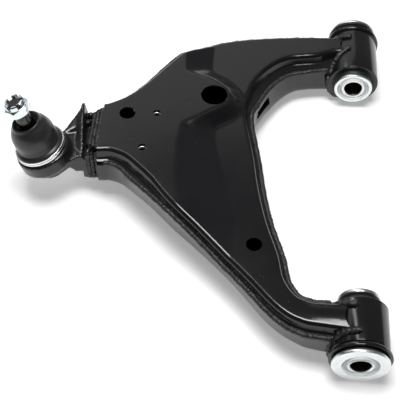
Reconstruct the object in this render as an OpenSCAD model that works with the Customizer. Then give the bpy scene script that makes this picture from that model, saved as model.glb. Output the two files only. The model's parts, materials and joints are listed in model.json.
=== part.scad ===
// Lower control arm of a light truck: two welded steel pressings between two
// rubber pivot bushes and a ball joint. Millimetres. Y runs along the pivot
// axis, X points from the ball joint towards the bushes, Z is up and square to
// the flat pad. The origin is the middle of the front bush bore.

/* [Overall] */
// Distance between the middles of the two pivot bushes
bush_spacing = 349; // [290:1:420]
// Distance from the pivot axis to the ball centre
reach = 316; // [264:1:379]
// Height of the limb tops above the pivot axis
limb_height = 24; // [20:0.5:25]
// Height of the raised pad above the limb tops
pad_rise = 13; // [8:0.5:16]
// Depth of the arm box where it is measured, at the middle of the front limb
box_depth = 34; // [29:0.5:40]

/* [Pressings] */
// Steel sheet thickness of both pressings
sheet = 3.2; // [2.5:0.1:4]
// Drop from the top face to the seam flange
flange_drop = 9; // [7:0.5:12]
// Side wall offset outside the flat top
wall_offset = 3; // [2:0.5:4]
// Seam flange edge outside the flat top
flange_offset = 6.5; // [5.5:0.5:7.5]
// Outer face of the lower pressing outside the flat top
tray_offset = 9.5; // [8.5:0.5:11]
// Clearance left between welded or pressed neighbours
weld_gap = 0.15; // [0.1:0.05:0.25]
// Big hole in the raised pad
big_hole_d = 28; // [22:0.5:31]
// Locating hole near the ball joint
locating_hole_d = 16.5; // [12:0.5:20]
// Hole in the front limb
limb_hole_d = 15.5; // [12:0.5:20]
// Hole over each weld nut
nut_hole_d = 8.4; // [6:0.2:10]

/* [Bushes] */
// Bore of the inner sleeves, an M18 bolt with 1 mm clearance
bore_d = 19; // [17:0.1:20.5]
// Outside diameter of the welded bush tubes
tube_d = 54; // [52:0.5:57]
// Length of the front bush tube
front_tube_len = 45; // [40:0.5:48]
// Length of the rear bush tube
rear_tube_len = 57; // [50:0.5:60]
// Outside diameter of the zinc end washers
washer_d = 53; // [48:0.5:58]
// Outside diameter of the small sleeve end
small_end_d = 41; // [36:0.5:43]
// Flange of the outer sleeve
sleeve_flange_d = 58; // [56.5:0.5:60]

/* [Ball joint] */
// Lean of the joint axis away from the arm
joint_lean = 16.5; // [13:0.5:19]
// Ball diameter
ball_d = 25; // [22:0.5:26]
// Radial clearance of the ball in its seat
ball_clearance = 0.05; // [0.03:0.01:0.08]
// Thread diameter of the stud
stud_thread_d = 14; // [12:0.5:14.5]
// Castle nut size across its flats
nut_af = 22; // [20:0.5:24]
// Widest diameter of the rubber boot
boot_d = 44; // [41:0.5:48]

// Lean of the stud to each side that the seat leaves open, degrees
stud_swing = 20; // [12:1:24]

/* [Hidden] */
kx = reach / 316;
ky = (bush_spacing - 54) / 295;
z_top = limb_height;
z_pad = z_top + pad_rise;
front_y = 0;
rear_y = bush_spacing;
front_half = 35;
rear_half = 41.5;
tube_r = tube_d / 2;
tube_bore_r = tube_r - 3.2;
sleeve_r = tube_bore_r - 0.05;
rubber_r = sleeve_r - 1.6;
inner_r = bore_d / 2 + 2.4;
shell_end_x = -261 * kx;
limb_end_x = -10.5;
joint_x = -reach;
joint_y = fy(174);
joint_z = 23 + (z_pad - 37);
ring_bore_r = 23;
ball_r = ball_d / 2;
thread_r = stud_thread_d / 2 - 0.1;
front_edge_y = -8;
front_bay_y = 12;
rear_bay_y = fy(344);
rear_fill_y = fy(331);
rear_edge_y = fy(359);
tilt_x = -150 * kx;
tilt_y = fy(120);
$fn = 24;

// Plan positions stretch with the reach and the bush spacing, except beside
// the bush tubes, where the limb ends keep their size.
function fx(x) = x > -40 ? x : -40 + (x + 40) * kx;
function fy(y) = y <= 20 ? y : y >= 315 ? y + bush_spacing - 349 : 20 + (y - 20) * ky;
function at(p) = [fx(p[0]), fy(p[1])];

// Edge of the flat top face, anticlockwise from the ball joint end. The seam
// flange follows the same line, except for a wider run at the rear of the bay.
front_edge = [[-290, 171], [-262, 171], [-248, 172], [-232, 166], [-218, 154],
  [-204, 140], [-188, 120], [-176, 107], [-152, 86], [-121, 57], [-100, 35],
  [-84, 17], [-71, 5], [-57, -3], [-40, -7], [10, -8], [10, 12], [-38, 12],
  [-50, 14], [-63, 21], [-74, 39], [-80, 66], [-92, 103], [-101, 143],
  [-107, 181], [-112, 206], [-117, 231]];
bay_edge = [[-119, 250], [-116, 268], [-110, 288], [-99, 306], [-85, 321],
  [-71, 329], [-58, 332], [-42, 335], [-20, 343], [10, 344]];
bay_seam = [[-116, 250], [-111, 266], [-103, 284], [-93, 301], [-80, 315],
  [-68, 320], [-56, 324], [-40, 328], [-20, 331], [10, 331]];
back_edge = [[10, 359], [-40, 360], [-83, 356], [-121, 350], [-150, 341],
  [-168, 328], [-183, 314], [-200, 291], [-213, 272], [-226, 255],
  [-237, 244], [-250, 235], [-262, 230], [-290, 230]];

// Upper and lower rims of the raised pad, point for point.
pad_rim = [for (p = [[-340, 60], [-174, 60], [-175, 95], [-176, 115],
  [-180, 147], [-181, 181], [-179, 205], [-173, 214], [-135, 239], [-131, 245],
  [-132, 254], [-140, 266], [-157, 279], [-181, 285], [-183, 314], [-186, 370],
  [-340, 370]]) at(p)];
pad_foot = [for (p = [[-340, 60], [-119, 20], [-120, 45], [-121, 63],
  [-122, 101], [-128, 140], [-138, 175], [-147, 216], [-127, 232], [-119, 243],
  [-118, 257], [-123, 274], [-137, 290], [-155, 298], [-155, 325], [-153, 370],
  [-340, 370]]) at(p)];
pad_n = len(pad_rim);
pad_hub = at([-230, 240]);

// Upright prisms over the flat top outline and over the seam outline, each
// grown by d, from height z0.
module flat_prism(d, z0) {
  translate([0, 0, z0])
    linear_extrude(height = 59 - z0)
      offset(delta = d)
        polygon([for (p = concat(front_edge, bay_edge, back_edge)) at(p)]);
}

module seam_prism(d, z0) {
  translate([0, 0, z0])
    linear_extrude(height = 58 - z0)
      offset(delta = d)
        polygon([for (p = concat(front_edge, bay_seam, back_edge)) at(p)]);
}

// Everything under the stepped top surface, lowered by h. The pad's slopes run
// on 2 mm below the limb tops, so that they cross them cleanly.
module under(h) {
  translate([-400 * kx, -60, -60])
    cube([460 * kx, 540 * ky, z_top - h + 60]);
  polyhedron(
    points = [for (i = [0 : pad_n - 1])
        [pad_foot[i][0] + (pad_foot[i][0] - pad_rim[i][0]) * 2 / pad_rise,
          pad_foot[i][1] + (pad_foot[i][1] - pad_rim[i][1]) * 2 / pad_rise,
          z_top - h - 2],
      for (p = pad_rim) [p[0], p[1], z_pad - h],
      [pad_hub[0], pad_hub[1], z_top - h - 2],
      [pad_hub[0], pad_hub[1], z_pad - h]],
    faces = concat(
      [for (i = [0 : pad_n - 1]) [2 * pad_n, i, (i + 1) % pad_n]],
      [for (i = [0 : pad_n - 1]) [2 * pad_n + 1, pad_n + (i + 1) % pad_n, pad_n + i]],
      [for (i = [0 : pad_n - 1]) [(i + 1) % pad_n, i, pad_n + i]],
      [for (i = [0 : pad_n - 1])
        [(i + 1) % pad_n, pad_n + i, pad_n + (i + 1) % pad_n]]));
}

// Everything above the sloping underside, raised by h.
module above(h) {
  translate([tilt_x, tilt_y, z_top - box_depth + h])
    rotate([-0.77, 2.19, 0])
      translate([-300 * kx, -300 * ky, 0])
        cube([600 * kx, 700 * ky, 120]);
}

module between_ends(gap) {
  difference() {
    translate([shell_end_x, -100, -80])
      cube([limb_end_x - shell_end_x, 600 * ky, 160]);
    for (y = [front_y, rear_y])
      translate([0, y - 60, 0])
        rotate([-90, 0, 0])
          cylinder(h = 120, r = tube_r + gap, $fn = 96);
  }
}

module round_hole(p, d) {
  translate([at(p)[0], at(p)[1], -80])
    cylinder(h = 160, r = d / 2, $fn = 48);
}

module upper_shell() {
  color([0.11, 0.11, 0.12])
    difference() {
      intersection() {
        union() {
          intersection() {
            flat_prism(wall_offset, -3);
            under(0);
          }
          intersection() {
            seam_prism(flange_offset, -4);
            under(flange_drop);
          }
        }
        between_ends(weld_gap);
      }
      intersection() {
        flat_prism(wall_offset - sheet, -8);
        under(sheet);
      }
      under(flange_drop + sheet);
      round_hole([-149, 252], big_hole_d);
      round_hole([-236, 220], locating_hole_d);
      round_hole([-206, 222], nut_hole_d);
      round_hole([-216, 175], nut_hole_d);
      round_hole([-100, 74], limb_hole_d);
    }
}

module lower_shell() {
  color([0.1, 0.1, 0.11])
    difference() {
      intersection() {
        seam_prism(tray_offset, -50);
        under(flange_drop + sheet + weld_gap);
        above(0);
        between_ends(weld_gap);
      }
      intersection() {
        seam_prism(tray_offset - sheet, -51);
        above(sheet);
      }
      round_hole([-150, 190], 20);
      round_hole([-70, 345], 12);
      round_hole([-88, 45], 12);
      translate([at([-98, 270])[0], at([-98, 270])[1], z_top - 26])
        rotate([0, 0, 62])
          translate([-15, -12, 0]) cube([30, 24, 6]);
    }
}

module seam_weld() {
  difference() {
    intersection() {
      seam_prism(tray_offset - 0.3, 0);
      under(flange_drop + 0.3);
      between_ends(4);
    }
    seam_prism(flange_offset + 0.05, -1);
    under(flange_drop + sheet + 0.05);
  }
}

module seam_weld_front() {
  color([0.16, 0.16, 0.17])
    intersection() {
      seam_weld();
      translate([0, 0, -50])
        linear_extrude(height = 100)
          polygon([for (p = [[-340, 190], [-340, -60], [0, -60], [0, 2],
            [-60, 2], [-90, 40], [-160, 120], [-230, 185]]) at(p)]);
    }
}

module seam_weld_inner() {
  color([0.16, 0.16, 0.17])
    intersection() {
      seam_weld();
      translate([0, 0, -50])
        linear_extrude(height = 100)
          polygon([for (p = [[0, 6], [-60, 10], [-82, 38], [-102, 100],
            [-130, 240], [-124, 290], [-90, 336], [-55, 344], [-30, 350],
            [0, 350]]) at(p)]);
    }
}

module seam_weld_back() {
  color([0.16, 0.16, 0.17])
    intersection() {
      seam_weld();
      translate([0, 0, -50])
        linear_extrude(height = 100)
          polygon([for (p = [[0, 356], [-120, 342], [-170, 310], [-240, 215],
            [-340, 215], [-340, 420], [0, 420]]) at(p)]);
    }
}

module on_joint() {
  translate([joint_x, joint_y, joint_z])
    rotate([0, -joint_lean, 0])
      children();
}

module bracket_bar() {
  translate([shell_end_x - 22, 0, 0])
    translate([0, fy(177), z_pad - 27.5])
      cube([36, 47 * ky, 24]);
}

module ball_joint_bracket() {
  color([0.13, 0.13, 0.14])
    difference() {
      union() {
        on_joint() translate([0, 0, -11]) cylinder(h = 17, r = 28, $fn = 96);
        translate([0, 0, z_pad - 33])
          linear_extrude(height = 24)
            polygon([[joint_x - 4, joint_y - 26], [joint_x + 8, joint_y - 25],
              [shell_end_x - 26, fy(180)], [shell_end_x - 26, fy(226)],
              [joint_x + 16, joint_y + 34], [joint_x, joint_y + 27.5]]);
        translate([shell_end_x - 28, fy(169), z_pad - 41])
          cube([7, 64 * ky, 40]);
        translate([shell_end_x - 31, fy(198), z_pad - 12])
          cube([5, 33 * ky, 9]);
        bracket_bar();
      }
      on_joint() translate([0, 0, -40]) cylinder(h = 100, r = ring_bore_r, $fn = 96);
      on_joint() translate([0, 0, 6.2]) cylinder(h = 40, r = 31, $fn = 96);
    }
}

module bracket_weld() {
  color([0.17, 0.17, 0.18])
    difference() {
      translate([shell_end_x - 7.2, fy(170), z_pad - 40])
        cube([7, 61 * ky, 39]);
      translate([shell_end_x - 20, fy(177) - 0.1, z_pad - 27.6])
        cube([40, 47 * ky + 0.2, 24.2]);
    }
}

module bush_at(y, flip) {
  translate([0, y, 0])
    rotate([flip ? -90 : 90, 0, 0])
      children();
}

module ring(z0, z1, ro, ri) {
  translate([0, 0, z0])
    difference() {
      cylinder(h = z1 - z0, r = ro, $fn = 96);
      translate([0, 0, -1]) cylinder(h = z1 - z0 + 2, r = ri, $fn = 96);
    }
}

// Each bush is drawn along its own axis, with the big washer at the far end.
module outer_sleeve(half, len) {
  ring(half - 12 - len, half - 6.1, sleeve_r, rubber_r + 0.1);
  ring(half - 11.7, half - 6.1, sleeve_flange_d / 2, rubber_r + 0.1);
}

module rubber(half, len) {
  rotate_extrude($fn = 96)
    polygon([[inner_r + 0.05, 4.4 - half], [small_end_d / 2 - 2, 4.4 - half],
      [small_end_d / 2 - 0.5, 8 - half], [rubber_r, half - 13.5 - len],
      [rubber_r, half - 6], [washer_d / 2 - 1, half - 5.8],
      [washer_d / 2 - 2, half - 4], [inner_r + 0.05, half - 4]]);
}

module inner_sleeve(half) {
  difference() {
    union() {
      translate([0, 0, -half]) cylinder(h = 2 * half, r = inner_r, $fn = 72);
      translate([0, 0, -half]) cylinder(h = 4, r = small_end_d / 2, $fn = 96);
    }
    translate([0, 0, -half - 1]) cylinder(h = 2 * half + 2, r = bore_d / 2, $fn = 72);
    for (s = [-1, 1])
      translate([0, 0, s * half])
        rotate([s > 0 ? 180 : 0, 0, 0])
          translate([0, 0, -0.01])
            cylinder(h = 1, r1 = bore_d / 2 + 1, r2 = bore_d / 2, $fn = 72);
  }
}

module washer(half) {
  ring(half - 3.6, half - 0.3, washer_d / 2, inner_r + 0.02);
}

module front_bush_tube() {
  color([0.11, 0.11, 0.12])
    bush_at(front_y, false)
      ring(front_half - 12 - front_tube_len, front_half - 12, tube_r, tube_bore_r);
}

module rear_bush_tube() {
  color([0.11, 0.11, 0.12])
    bush_at(rear_y, true)
      ring(rear_half - 18 - rear_tube_len, rear_half - 18, tube_r, tube_bore_r);
}

// One bead laid round a bush tube at y, between two angles from the X axis.
module tube_bead(y, a0, a1) {
  translate([0, y, 0])
    rotate([-90, 0, 0])
      rotate([0, 0, a0])
        rotate_extrude(angle = a1 - a0, $fn = 96)
          translate([tube_r + 0.6, 0]) circle(r = 2.6, $fn = 16);
}

module clear_of_arm(y) {
  difference() {
    children();
    translate([0, y - 60, 0])
      rotate([-90, 0, 0]) cylinder(h = 120, r = tube_r + 0.05, $fn = 96);
    flat_prism(wall_offset + 0.05, -52);
    intersection() {
      seam_prism(flange_offset + 0.05, -53);
      under(flange_drop - 0.05);
    }
    intersection() {
      seam_prism(tray_offset + 0.05, -54);
      under(flange_drop + sheet + 0.05);
    }
  }
}

module front_tube_weld() {
  color([0.17, 0.17, 0.18])
    clear_of_arm(front_y) {
      tube_bead(front_edge_y - tray_offset - 1.2, 135, 209);
      tube_bead(front_edge_y - flange_offset + 2, 205, 262);
      tube_bead(front_bay_y + tray_offset + 1.2, 135, 209);
      tube_bead(front_bay_y + flange_offset - 2, 205, 262);
    }
}

module rear_tube_weld() {
  color([0.17, 0.17, 0.18])
    clear_of_arm(rear_y) {
      tube_bead(rear_fill_y - tray_offset - 1.2, 135, 209);
      tube_bead(rear_bay_y - flange_offset + 2, 205, 262);
      tube_bead(rear_edge_y + tray_offset + 0.5, 135, 209);
      tube_bead(rear_edge_y + flange_offset - 2, 205, 262);
    }
}

module front_outer_sleeve() {
  color([0.14, 0.14, 0.15])
    bush_at(front_y, false)
      outer_sleeve(front_half, front_tube_len);
}

module rear_outer_sleeve() {
  color([0.14, 0.14, 0.15])
    bush_at(rear_y, true)
      translate([0, 0, -6]) outer_sleeve(rear_half, rear_tube_len);
}

module front_rubber() {
  color([0.06, 0.06, 0.06])
    bush_at(front_y, false)
      rubber(front_half, front_tube_len);
}

module rear_rubber() {
  color([0.06, 0.06, 0.06])
    bush_at(rear_y, true)
      rubber(rear_half, rear_tube_len);
}

module front_inner_sleeve() {
  color([0.78, 0.8, 0.8])
    bush_at(front_y, false)
      inner_sleeve(front_half);
}

module rear_inner_sleeve() {
  color([0.78, 0.8, 0.8])
    bush_at(rear_y, true)
      inner_sleeve(rear_half);
}

module front_washer() {
  color([0.8, 0.82, 0.82])
    bush_at(front_y, false)
      washer(front_half);
}

module rear_washer() {
  color([0.8, 0.82, 0.82])
    bush_at(rear_y, true)
      washer(rear_half);
}

module joint_housing() {
  color([0.15, 0.15, 0.16])
    on_joint()
      difference() {
        union() {
          translate([0, 0, -17.4]) cylinder(h = 10, r = 21.4, $fn = 96);
          translate([0, 0, -10.8]) cylinder(h = 23.8, r = ring_bore_r - 0.05, $fn = 96);
        }
        translate([0, 0, -12]) cylinder(h = 20.8, r = ball_r + 4.1, $fn = 96);
        translate([0, 0, -19]) cylinder(h = 7.5, r = ball_r + 5.1, $fn = 96);
        translate([0, 0, -16.6]) cylinder(h = 1.4, r = ball_r + 6.4, $fn = 96);
        translate([0, 0, 8.5]) cylinder(h = 6, r1 = ball_r + 0.6, r2 = ball_r + 5, $fn = 96);
      }
}

module bearing_seat() {
  color([0.85, 0.84, 0.78])
    on_joint()
      difference() {
        translate([0, 0, -9]) cylinder(h = 17.6, r = ball_r + 4, $fn = 96);
        sphere(r = ball_r + ball_clearance, $fn = 72);
        translate([0, 0, -10])
          cylinder(h = 22, r = ball_r * sin(stud_swing + asin(6.1 / ball_r)) + 0.5, $fn = 72);
      }
}

module seat_spring() {
  color([0.5, 0.5, 0.52])
    on_joint()
      rotate_extrude($fn = 96)
        polygon([[9.4, -11.3], [ball_r + 3.6, -10.1], [ball_r + 3.6, -9.3],
          [9.4, -10.5]]);
}

module closing_cap() {
  color([0.6, 0.6, 0.62])
    on_joint()
      translate([0, 0, -15]) cylinder(h = 2.1, r = ball_r + 5, $fn = 96);
}

module snap_ring() {
  color([0.3, 0.3, 0.32])
    on_joint()
      difference() {
        ring(-16.5, -15.3, ball_r + 6.3, ball_r + 2.8);
        translate([ball_r, -3, -18]) cube([10, 6, 5]);
      }
}

module ball_stud() {
  color([0.7, 0.72, 0.72])
    on_joint()
      difference() {
        union() {
          sphere(r = ball_r, $fn = 72);
          cylinder(h = 31, r = 6.1, $fn = 72);
          translate([0, 0, 25])
            cylinder(h = 12, r1 = 6.1, r2 = 8.9, $fn = 72);
          translate([0, 0, 37]) cylinder(h = 4, r = 8.9, $fn = 72);
          translate([0, 0, 41])
            cylinder(h = 16, r1 = 8.9, r2 = stud_thread_d / 2, $fn = 72);
          translate([0, 0, 57]) cylinder(h = 16, r = thread_r, $fn = 72);
        }
        translate([0, 0, 70.5]) rotate([90, 0, 0])
          translate([0, 0, -12]) cylinder(h = 24, r = 1.6, $fn = 24);
      }
}

module boot() {
  color([0.07, 0.07, 0.07])
    on_joint()
      rotate_extrude($fn = 96)
        polygon([[ring_bore_r + 0.1, 6.5], [ring_bore_r + 1.9, 6.5],
          [ring_bore_r + 1.9, 12.5], [boot_d / 2 + 0.6, 15],
          [boot_d / 2 - 0.5, 20], [boot_d / 2, 26], [boot_d / 2 - 0.8, 32],
          [boot_d / 2 - 3.4, 38.5], [14.6, 43.6], [14.6, 45.5], [9.2, 45.5],
          [9.2, 39.5], [12.2, 39.5], [boot_d / 2 - 6, 36],
          [boot_d / 2 - 3, 31.5], [boot_d / 2 - 2.2, 26],
          [boot_d / 2 - 2.6, 20.5], [boot_d / 2 - 1.6, 15.5],
          [ring_bore_r - 1.4, 13.4], [ring_bore_r + 0.1, 13.2]]);
}

module boot_large_ring() {
  color([0.8, 0.82, 0.82])
    on_joint()
      for (z = [7, 9.7])
        ring(z, z + 2.4, ring_bore_r + 3.1, ring_bore_r + 1.95);
}

module boot_small_ring() {
  color([0.3, 0.3, 0.32])
    on_joint()
      ring(38.1, 39.3, 12, 9.4);
}

module castle_nut() {
  color([0.72, 0.78, 0.8])
    on_joint()
      difference() {
        union() {
          translate([0, 0, 60.5])
            cylinder(h = 8.5, r = nut_af / 2 / cos(30), $fn = 6);
          translate([0, 0, 69]) cylinder(h = 5.5, r = nut_af / 2 - 0.8, $fn = 72);
        }
        translate([0, 0, 56]) cylinder(h = 30, r = thread_r + 0.08, $fn = 72);
        for (a = [0, 60, 120])
          rotate([0, 0, a])
            translate([-20, -1.9, 69.2]) cube([40, 3.8, 10]);
      }
}

module weld_nuts() {
  color([0.6, 0.62, 0.62])
    for (p = [[-206, 222], [-216, 175]])
      translate([at(p)[0], at(p)[1], z_pad - sheet - 7.02])
        difference() {
          cylinder(h = 7, r = 7.5, $fn = 6);
          translate([0, 0, -1]) cylinder(h = 9, r = 3.4, $fn = 36);
        }
}

upper_shell();
lower_shell();
seam_weld_front();
seam_weld_inner();
seam_weld_back();
ball_joint_bracket();
bracket_weld();
front_bush_tube();
rear_bush_tube();
front_tube_weld();
rear_tube_weld();
front_outer_sleeve();
rear_outer_sleeve();
front_rubber();
rear_rubber();
front_inner_sleeve();
rear_inner_sleeve();
front_washer();
rear_washer();
joint_housing();
bearing_seat();
seat_spring();
closing_cap();
snap_ring();
ball_stud();
boot();
boot_large_ring();
boot_small_ring();
castle_nut();
weld_nuts();
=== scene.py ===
# %% [markdown]
# # A lower control arm, cell by cell
# The arm is two deep steel pressings welded edge to edge into a hollow box, with a rubber bush
# pressed into a tube at the end of each limb and a ball joint at the third corner. The whole arm
# is dipped in black paint. This lesson rebuilds every visible piece as a mesh of its own in the
# frame that the design model gives, so that each piece can move with its own joint.

# %% Load the shared frame
import json
import math
import random
import bpy
import bmesh
import numpy as np
from mathutils import Matrix, Vector, geometry


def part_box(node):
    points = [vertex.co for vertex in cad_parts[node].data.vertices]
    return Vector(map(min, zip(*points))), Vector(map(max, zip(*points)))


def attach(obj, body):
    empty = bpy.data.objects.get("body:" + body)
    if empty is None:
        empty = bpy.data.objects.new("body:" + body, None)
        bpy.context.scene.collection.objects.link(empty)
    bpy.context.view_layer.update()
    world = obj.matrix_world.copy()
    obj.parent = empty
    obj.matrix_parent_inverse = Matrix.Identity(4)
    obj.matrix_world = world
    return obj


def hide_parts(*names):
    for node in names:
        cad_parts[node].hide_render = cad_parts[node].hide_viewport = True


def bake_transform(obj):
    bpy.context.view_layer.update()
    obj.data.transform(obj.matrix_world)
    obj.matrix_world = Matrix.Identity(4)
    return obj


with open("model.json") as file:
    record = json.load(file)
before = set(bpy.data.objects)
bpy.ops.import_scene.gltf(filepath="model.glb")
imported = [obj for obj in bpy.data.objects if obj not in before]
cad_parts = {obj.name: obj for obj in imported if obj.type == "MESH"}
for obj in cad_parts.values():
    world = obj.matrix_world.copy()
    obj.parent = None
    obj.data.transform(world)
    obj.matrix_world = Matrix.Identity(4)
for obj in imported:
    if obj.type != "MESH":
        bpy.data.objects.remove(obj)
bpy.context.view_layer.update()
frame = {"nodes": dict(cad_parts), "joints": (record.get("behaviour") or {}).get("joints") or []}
random.seed(7)
MM = 0.001
SHEET = 3.2
FLOOR_Z = -0.0292

# %% [markdown]
# ## Where the bushes and the ball joint are
# Positions come from the boxes of the design model's own nodes. The bush axes run along Y, and
# the ball joint's axis leans away from the arm, so a small matrix takes a point drawn on an
# upright joint to its leaning place.

# %% Middles of the bushes, and the ball joint's own axes
low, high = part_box("front_inner_sleeve")
front_y = (low[1] + high[1]) / 2 / MM
front_half = (high[1] - low[1]) / 2 / MM
low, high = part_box("rear_inner_sleeve")
rear_y = (low[1] + high[1]) / 2 / MM
rear_half = (high[1] - low[1]) / 2 / MM
tilt_row = next(row for row in frame["joints"] if row["name"] == "stud_turn")
lean = Vector(tilt_row["axis"]).normalized()
low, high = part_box("bearing_seat")
seat_middle = (Vector(low) + Vector(high)) / 2 / MM
ball = seat_middle + lean * 0.2
to_joint = Matrix.Translation(ball) @ Vector((0, 0, 1)).rotation_difference(lean).to_matrix().to_4x4()
to_front = Matrix.Translation((0, front_y, 0)) @ Matrix.Rotation(math.pi / 2, 4, "X")
to_rear = Matrix.Translation((0, rear_y, 0)) @ Matrix.Rotation(-math.pi / 2, 4, "X")
TUBE = 27.0
print("bushes at y", round(front_y, 2), round(rear_y, 2), "ball centre", [round(v, 2) for v in ball])

# %% [markdown]
# ## Turning a bmesh into a piece
# Every piece is shaped in millimetres and made small at the very end, so that its object stays
# at the origin with its place in its mesh. The helper also turns the faces outwards, shades them
# smoothly, says which body the piece rides on, and which solids of the design model it stands
# for. A piece that bends between two bodies rides on neither.

# %% Finish a piece
pieces = {}


def finish_piece(bm, name, coat, body, stands_for=(), outward=True, place=None):
    if place is not None:
        bm.transform(place)
    if outward:
        bmesh.ops.recalc_face_normals(bm, faces=bm.faces)
    bmesh.ops.scale(bm, vec=(MM, MM, MM), verts=bm.verts)
    mesh = bpy.data.meshes.new(name)
    bm.to_mesh(mesh)
    bm.free()
    for face in mesh.polygons:
        face.use_smooth = True
    piece = bpy.data.objects.new(name, mesh)
    bpy.context.scene.collection.objects.link(piece)
    mesh.materials.append(coat)
    if body:
        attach(piece, body)
    if stands_for:
        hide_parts(*stands_for)
    pieces[name] = piece
    print(name, len(mesh.polygons), "faces")
    return piece


def bake_modifiers(piece):
    """Applies a piece's modifiers, and keeps its material, body and name."""
    graph = bpy.context.evaluated_depsgraph_get()
    baked = bpy.data.meshes.new_from_object(piece.evaluated_get(graph))
    piece.modifiers.clear()
    old = piece.data
    piece.data = baked
    bpy.data.meshes.remove(old)
    return piece


# %% [markdown]
# ## Finishes
# Four effects are shared: the fine orange peel of dip paint, dust that settles on it, the lumpy
# skin of a weld with spots that mask its painted glints, and the cloudy bloom of zinc. Each is a
# node group that gives only heights and masks; the shader with its plain numbers stays in the material.

# %% Helpers for node trees
def add_node(tree, kind, **settings):
    made = tree.nodes.new(kind)
    for key, value in settings.items():
        if key in made.inputs.keys():
            made.inputs[key].default_value = value
        else:
            setattr(made, key, value)
    return made


def new_group(name, inputs, outputs):
    group = bpy.data.node_groups.new(name, "ShaderNodeTree")
    for label, start in inputs:
        socket = group.interface.new_socket(label, in_out="INPUT", socket_type="NodeSocketFloat")
        socket.default_value = start
    for label in outputs:
        group.interface.new_socket(label, in_out="OUTPUT", socket_type="NodeSocketFloat")
    return group, group.nodes.new("NodeGroupInput"), group.nodes.new("NodeGroupOutput")


def math_node(tree, operation, first, second):
    made = tree.nodes.new("ShaderNodeMath")
    made.operation = operation
    for socket, value in zip(made.inputs, (first, second)):
        if hasattr(value, "is_linked"):
            tree.links.new(value, socket)
        else:
            socket.default_value = value
    return made.outputs[0]


# %% Orange peel: fine ripples on slow waves
peel, peel_in, peel_out = new_group(
    "orange_peel", [("Ripple Scale", 900.0), ("Wave Share", 0.5)], ["Height", "Shade"])
where = add_node(peel, "ShaderNodeTexCoord").outputs["Object"]
ripple = add_node(peel, "ShaderNodeTexNoise", Detail=2.0, Roughness=0.55)
wave = add_node(peel, "ShaderNodeTexNoise", Scale=55.0, Detail=3.0, Roughness=0.5)
cloud = add_node(peel, "ShaderNodeTexNoise", Scale=14.0, Detail=4.0, Roughness=0.6)
for texture in (ripple, wave, cloud):
    peel.links.new(where, texture.inputs["Vector"])
peel.links.new(peel_in.outputs["Ripple Scale"], ripple.inputs["Scale"])
slow = math_node(peel, "MULTIPLY", wave.outputs["Fac"], peel_in.outputs["Wave Share"])
peel.links.new(math_node(peel, "ADD", ripple.outputs["Fac"], slow), peel_out.inputs["Height"])
peel.links.new(cloud.outputs["Fac"], peel_out.inputs["Shade"])

# %% Dust: a few small round grains, only in some of the cells of a Voronoi pattern
dust, dust_in, dust_out = new_group(
    "dust_grains", [("Grain Scale", 330.0), ("Grain Size", 0.09), ("Share", 0.12)], ["Grains"])
where = add_node(dust, "ShaderNodeTexCoord").outputs["Object"]
cells = add_node(dust, "ShaderNodeTexVoronoi")
dust.links.new(where, cells.inputs["Vector"])
dust.links.new(dust_in.outputs["Grain Scale"], cells.inputs["Scale"])
round_grain = math_node(dust, "LESS_THAN", cells.outputs["Distance"], dust_in.outputs["Grain Size"])
split = add_node(dust, "ShaderNodeSeparateColor")
dust.links.new(cells.outputs["Color"], split.inputs["Color"])
chosen = math_node(dust, "LESS_THAN", split.outputs["Red"], dust_in.outputs["Share"])
dust.links.new(math_node(dust, "MULTIPLY", round_grain, chosen), dust_out.inputs["Grains"])

# %% Weld skin: lumps, pits, and spots for painted glints
skin, skin_in, skin_out = new_group("weld_skin", [("Lump Scale", 420.0)], ["Height", "Painted Glint Spots"])
where = add_node(skin, "ShaderNodeTexCoord").outputs["Object"]
lumps = add_node(skin, "ShaderNodeTexNoise", Detail=5.0, Roughness=0.65)
pits = add_node(skin, "ShaderNodeTexVoronoi", Scale=520.0)
spots = add_node(skin, "ShaderNodeTexNoise", Scale=700.0, Detail=2.0, Roughness=0.7)
for texture in (lumps, pits, spots):
    skin.links.new(where, texture.inputs["Vector"])
skin.links.new(skin_in.outputs["Lump Scale"], lumps.inputs["Scale"])
pitted = math_node(skin, "MULTIPLY", pits.outputs["Distance"], 0.5)
skin.links.new(math_node(skin, "ADD", lumps.outputs["Fac"], pitted), skin_out.inputs["Height"])
# Peaks of the fine noise become the mask for painted glints on the weld.
edge = math_node(skin, "SUBTRACT", spots.outputs["Fac"], 0.66)
skin.links.new(math_node(skin, "MULTIPLY", edge, 9.0), skin_out.inputs["Painted Glint Spots"])

# %% Zinc bloom: soft clouds and fine scratches
bloom, bloom_in, bloom_out = new_group("zinc_bloom", [("Cloud Scale", 120.0)], ["Cloud", "Grain"])
where = add_node(bloom, "ShaderNodeTexCoord").outputs["Object"]
clouds = add_node(bloom, "ShaderNodeTexNoise", Detail=6.0, Roughness=0.65)
grain = add_node(bloom, "ShaderNodeTexNoise", Scale=1600.0, Detail=2.0, Roughness=0.6)
for texture in (clouds, grain):
    bloom.links.new(where, texture.inputs["Vector"])
bloom.links.new(bloom_in.outputs["Cloud Scale"], clouds.inputs["Scale"])
bloom.links.new(clouds.outputs["Fac"], bloom_out.inputs["Cloud"])
bloom.links.new(grain.outputs["Fac"], bloom_out.inputs["Grain"])
print("node groups:", [group.name for group in bpy.data.node_groups])


# %% [markdown]
# A material is started by one helper that makes the shader and sets its plain numbers. The colour
# and roughness then get a ramp each, driven by a mask from a group, and a Bump node turns the
# group's height into the shader's normal.

# %% Start a material
def start_material(name, **numbers):
    material = bpy.data.materials.new(name)
    material.use_nodes = True
    tree = material.node_tree
    shader = tree.nodes["Principled BSDF"]
    for key, value in numbers.items():
        shader.inputs[key.replace("_", " ")].default_value = value
    return material, tree, shader


def place_group(tree, group, **numbers):
    made = tree.nodes.new("ShaderNodeGroup")
    made.node_tree = group
    for key, value in numbers.items():
        made.inputs[key.replace("_", " ")].default_value = value
    return made


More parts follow.
